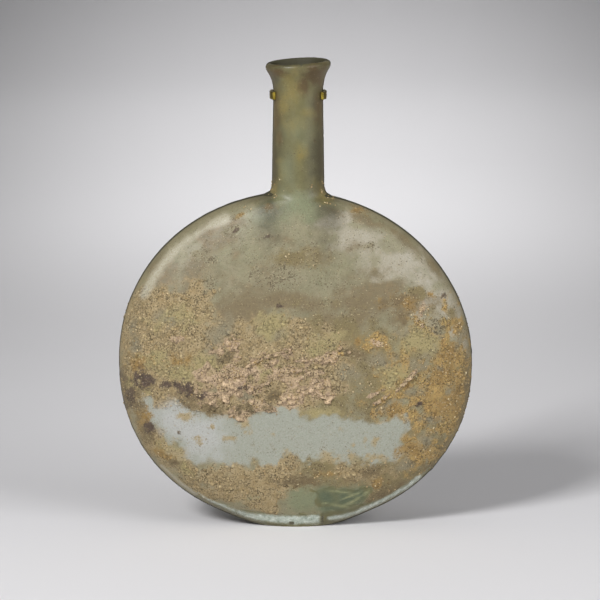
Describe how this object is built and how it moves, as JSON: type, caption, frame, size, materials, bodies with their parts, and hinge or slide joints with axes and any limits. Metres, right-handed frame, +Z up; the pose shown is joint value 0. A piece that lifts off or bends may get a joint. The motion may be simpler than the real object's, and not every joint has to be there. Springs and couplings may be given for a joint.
{
  "type": "glass lentoid bottle",
  "caption": "Flattened lens-shaped blown glass bottle with a cylindrical neck and flared mouth, weathered, steadied by a small brass clip, rod and round foot.",
  "frame": {"origin": "centre of the flat on the bottle's base, on the surface that it stands on", "axes": "+Z up along the neck, +X to the right seen from the front, -Y towards the viewer, out of the front face"},
  "size_m": [0.1912, 0.0985, 0.2534],
  "materials": {
    "weathered_glass": "translucent green glass under a dull, partly crusted weathering skin",
    "brass": "satin, slightly tarnished"
  },
  "bodies": {
    "root": {"bottle": "weathered_glass", "neck_clip": "brass", "stand_rod": "brass", "stand_foot": "brass"}
  },
  "joints": []
}
